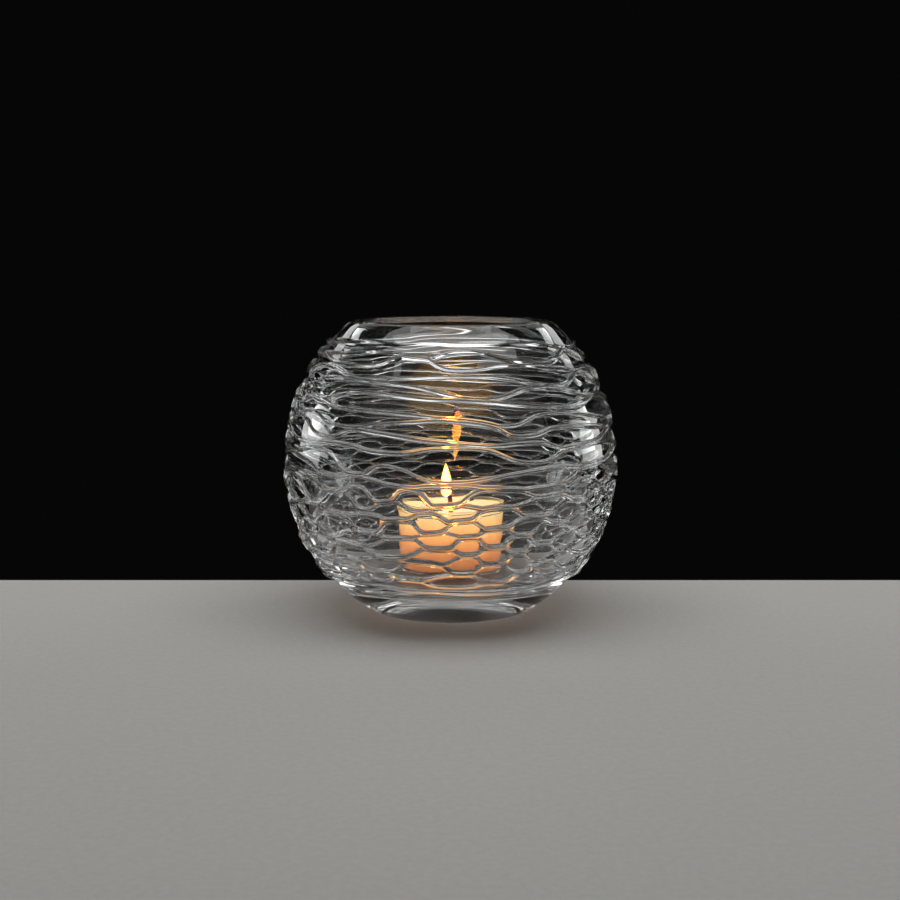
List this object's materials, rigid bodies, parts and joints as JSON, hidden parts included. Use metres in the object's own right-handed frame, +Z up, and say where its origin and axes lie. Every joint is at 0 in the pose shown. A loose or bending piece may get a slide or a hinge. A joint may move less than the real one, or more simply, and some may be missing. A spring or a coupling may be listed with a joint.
{
  "type": "votive candle holder",
  "caption": "Round clear glass votive holder wrapped in a fused web of trailed glass thread, with a clear-cup tealight that lifts out through its open mouth.",
  "frame": {"origin": "centre of the ground foot that the bowl stands on", "axes": "+Z up along the bowl's axis, -Y towards the picture's viewer"},
  "size_m": [0.1185, 0.1186, 0.1015],
  "materials": {
    "clear_glass": "fire-polished, with a cut and polished rim",
    "clear_plastic": "clear injection-moulded polycarbonate",
    "paraffin_wax": "poured translucent paraffin wax",
    "tinplate": "stamped tin-plated steel",
    "cotton_wick": "braided cotton, waxed and charred at the tip"
  },
  "bodies": {
    "holder": {"glass_bowl": "clear_glass", "glass_trail": "clear_glass"},
    "tealight": {"tealight_cup": "clear_plastic", "wax_fill": "paraffin_wax", "wick_sustainer": "tinplate", "wick": "cotton_wick"}
  },
  "joints": [
    {"name": "tealight_lift", "type": "slide", "parent": "holder", "child": "tealight", "axis": [0, 0, 1], "range_m": [0, 0.095]}
  ]
}
